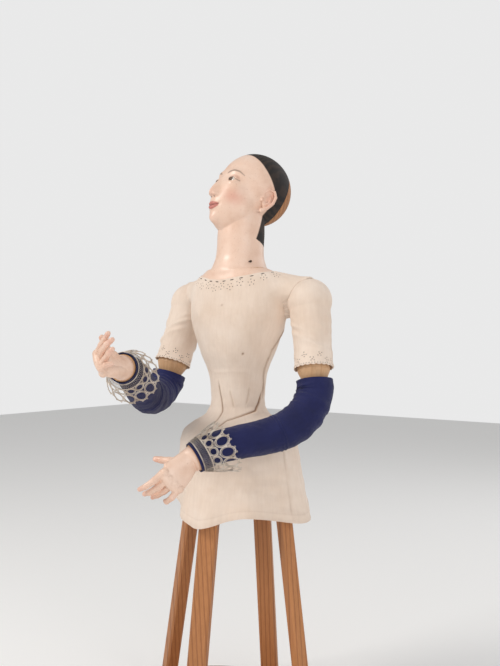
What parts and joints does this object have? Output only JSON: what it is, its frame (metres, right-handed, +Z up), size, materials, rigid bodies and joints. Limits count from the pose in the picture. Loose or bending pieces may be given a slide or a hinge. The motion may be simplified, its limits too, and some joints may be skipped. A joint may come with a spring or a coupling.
{
  "type": "processional mannequin",
  "caption": "Free-standing devotional dressing figure: carved head and hands, jointed arms, linen-covered trunk and skirt on slim wooden legs and an oval board.",
  "frame": {"origin": "on the floor, under the middle of the oval board", "axes": "+Z up, the figure faces -Y and its left side is +X"},
  "size_m": [0.4531, 0.5329, 1.1595],
  "materials": {
    "pine": "oiled, straight-grained",
    "carved_wood": "smooth, unpainted",
    "bare_wood": "rough, unpainted",
    "polychrome": "satin flesh paint on gesso",
    "eye_glass": "polished",
    "nail_iron": "dull",
    "linen": "plain weave",
    "blue_cloth": "matt twill",
    "metal_lace": "tarnished metal thread"
  },
  "bodies": {
    "root": {"base_board": "pine", "front_leg": "pine", "back_leg": "pine", "left_leg": "pine", "right_leg": "pine", "front_leg_peg": "carved_wood", "back_leg_peg": "carved_wood", "left_leg_peg": "carved_wood", "right_leg_peg": "carved_wood", "hip_block": "carved_wood", "trunk_peg": "carved_wood", "torso_core": "carved_wood", "bust_head": "polychrome", "skull_back": "bare_wood", "left_eye": "eye_glass", "right_eye": "eye_glass", "neck_nail": "nail_iron", "bodice": "linen", "skirt": "linen"},
    "left_knuckle": {"left_shoulder_knuckle": "carved_wood"},
    "left_upper_arm": {"left_shoulder_pin": "carved_wood", "left_upper_arm": "carved_wood", "left_linen_sleeve": "linen", "left_elbow_pin": "carved_wood"},
    "left_forearm": {"left_forearm": "carved_wood", "left_blue_sleeve": "blue_cloth", "left_lace_cuff": "metal_lace"},
    "left_hand": {"left_hand": "polychrome", "left_wrist_peg": "carved_wood"},
    "right_knuckle": {"right_shoulder_knuckle": "carved_wood"},
    "right_upper_arm": {"right_shoulder_pin": "carved_wood", "right_upper_arm": "carved_wood", "right_linen_sleeve": "linen", "right_elbow_pin": "carved_wood"},
    "right_forearm": {"right_forearm": "carved_wood", "right_blue_sleeve": "blue_cloth", "right_lace_cuff": "metal_lace"},
    "right_hand": {"right_hand": "polychrome", "right_wrist_peg": "carved_wood"}
  },
  "joints": [
    {"name": "left_shoulder_swing", "type": "hinge", "parent": "root", "child": "left_knuckle", "pos_m": [0.158, 0.032, 0.846], "axis": [-1, 0, 0], "range_deg": [0, 40]},
    {"name": "left_shoulder_lift", "type": "hinge", "parent": "left_knuckle", "child": "left_upper_arm", "pos_m": [0.158, 0.032, 0.846], "axis": [0, -0.9792, 0.2028], "range_deg": [-4, 20]},
    {"name": "left_elbow_bend", "type": "hinge", "parent": "left_upper_arm", "child": "left_forearm", "pos_m": [0.19612, -0.00533, 0.66573], "axis": [-0.7368, 0.6141, -0.283], "range_deg": [-10, 22], "deforming": ["left_blue_sleeve"]},
    {"name": "left_wrist_turn", "type": "hinge", "parent": "left_forearm", "child": "left_hand", "pos_m": [0.06716, -0.21295, 0.551], "axis": [-0.4777, -0.7689, -0.4249], "range_deg": [-45, 45]},
    {"name": "right_shoulder_swing", "type": "hinge", "parent": "root", "child": "right_knuckle", "pos_m": [-0.158, 0.032, 0.846], "axis": [-1, 0, 0], "range_deg": [-8, 30]},
    {"name": "right_shoulder_lift", "type": "hinge", "parent": "right_knuckle", "child": "right_upper_arm", "pos_m": [-0.158, 0.032, 0.846], "axis": [0, 0.9291, -0.3697], "range_deg": [-3, 20]},
    {"name": "right_elbow_bend", "type": "hinge", "parent": "right_upper_arm", "child": "right_forearm", "pos_m": [-0.16981, -0.03737, 0.67167], "axis": [-0.897, -0.3864, 0.2145], "range_deg": [-16, 18], "deforming": ["right_blue_sleeve"]},
    {"name": "right_wrist_turn", "type": "hinge", "parent": "right_forearm", "child": "right_hand", "pos_m": [-0.05548, -0.27782, 0.71657], "axis": [0.4234, -0.8905, 0.1663], "range_deg": [-45, 45]}
  ]
}
